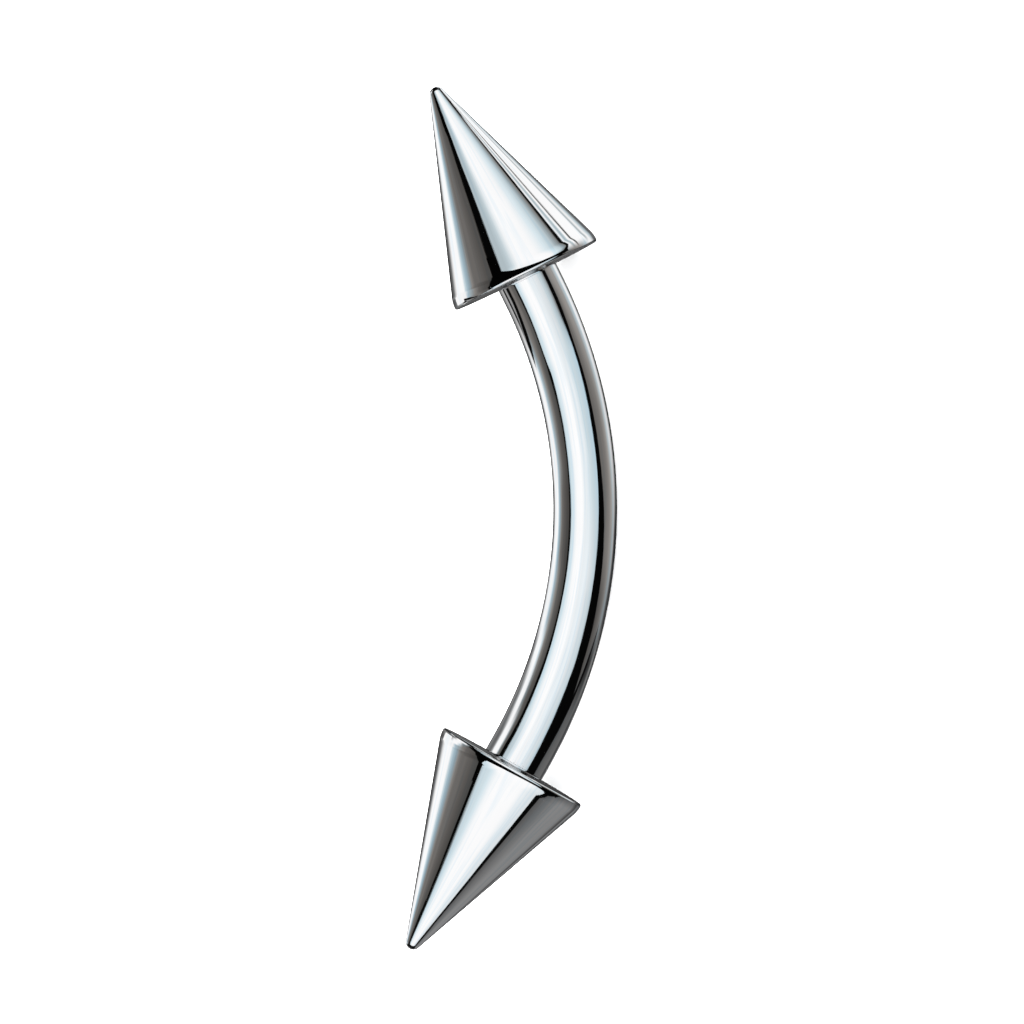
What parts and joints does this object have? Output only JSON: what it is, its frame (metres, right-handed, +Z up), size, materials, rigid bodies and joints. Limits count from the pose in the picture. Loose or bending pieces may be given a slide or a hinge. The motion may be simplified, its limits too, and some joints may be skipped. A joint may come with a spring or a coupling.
{
  "type": "curved eyebrow barbell",
  "caption": "Bent bar with a threaded post at each end and a pointed spike screwed onto each post, worn through a piercing.",
  "frame": {"origin": "on the surface it lies on, under the middle of its box", "axes": "+Y from the lower spike to the upper spike, +X towards the outside of the bend, +Z up"},
  "size_m": [0.003, 0.0162, 0.0028],
  "materials": {
    "polished_bar": "mirror polish on white gold, with faint polishing lines along the bar",
    "polished_spike": "mirror polish on white gold, with faint polishing lines from rim to tip",
    "cut_thread": "thread as cut, bright and slightly satin"
  },
  "bodies": {
    "bar": {"curved_bar": "polished_bar"},
    "upper_end": {"upper_spike": "polished_spike"},
    "lower_end": {"lower_spike": "polished_spike"}
  },
  "joints": [
    {"name": "upper_spike_off", "type": "slide", "parent": "bar", "child": "upper_end", "axis": [-0.3539, 0.8842, 0.3049], "range_m": [0, 0.002]},
    {"name": "lower_spike_off", "type": "slide", "parent": "bar", "child": "lower_end", "axis": [-0.3539, -0.8842, 0.3049], "range_m": [0, 0.002]}
  ]
}
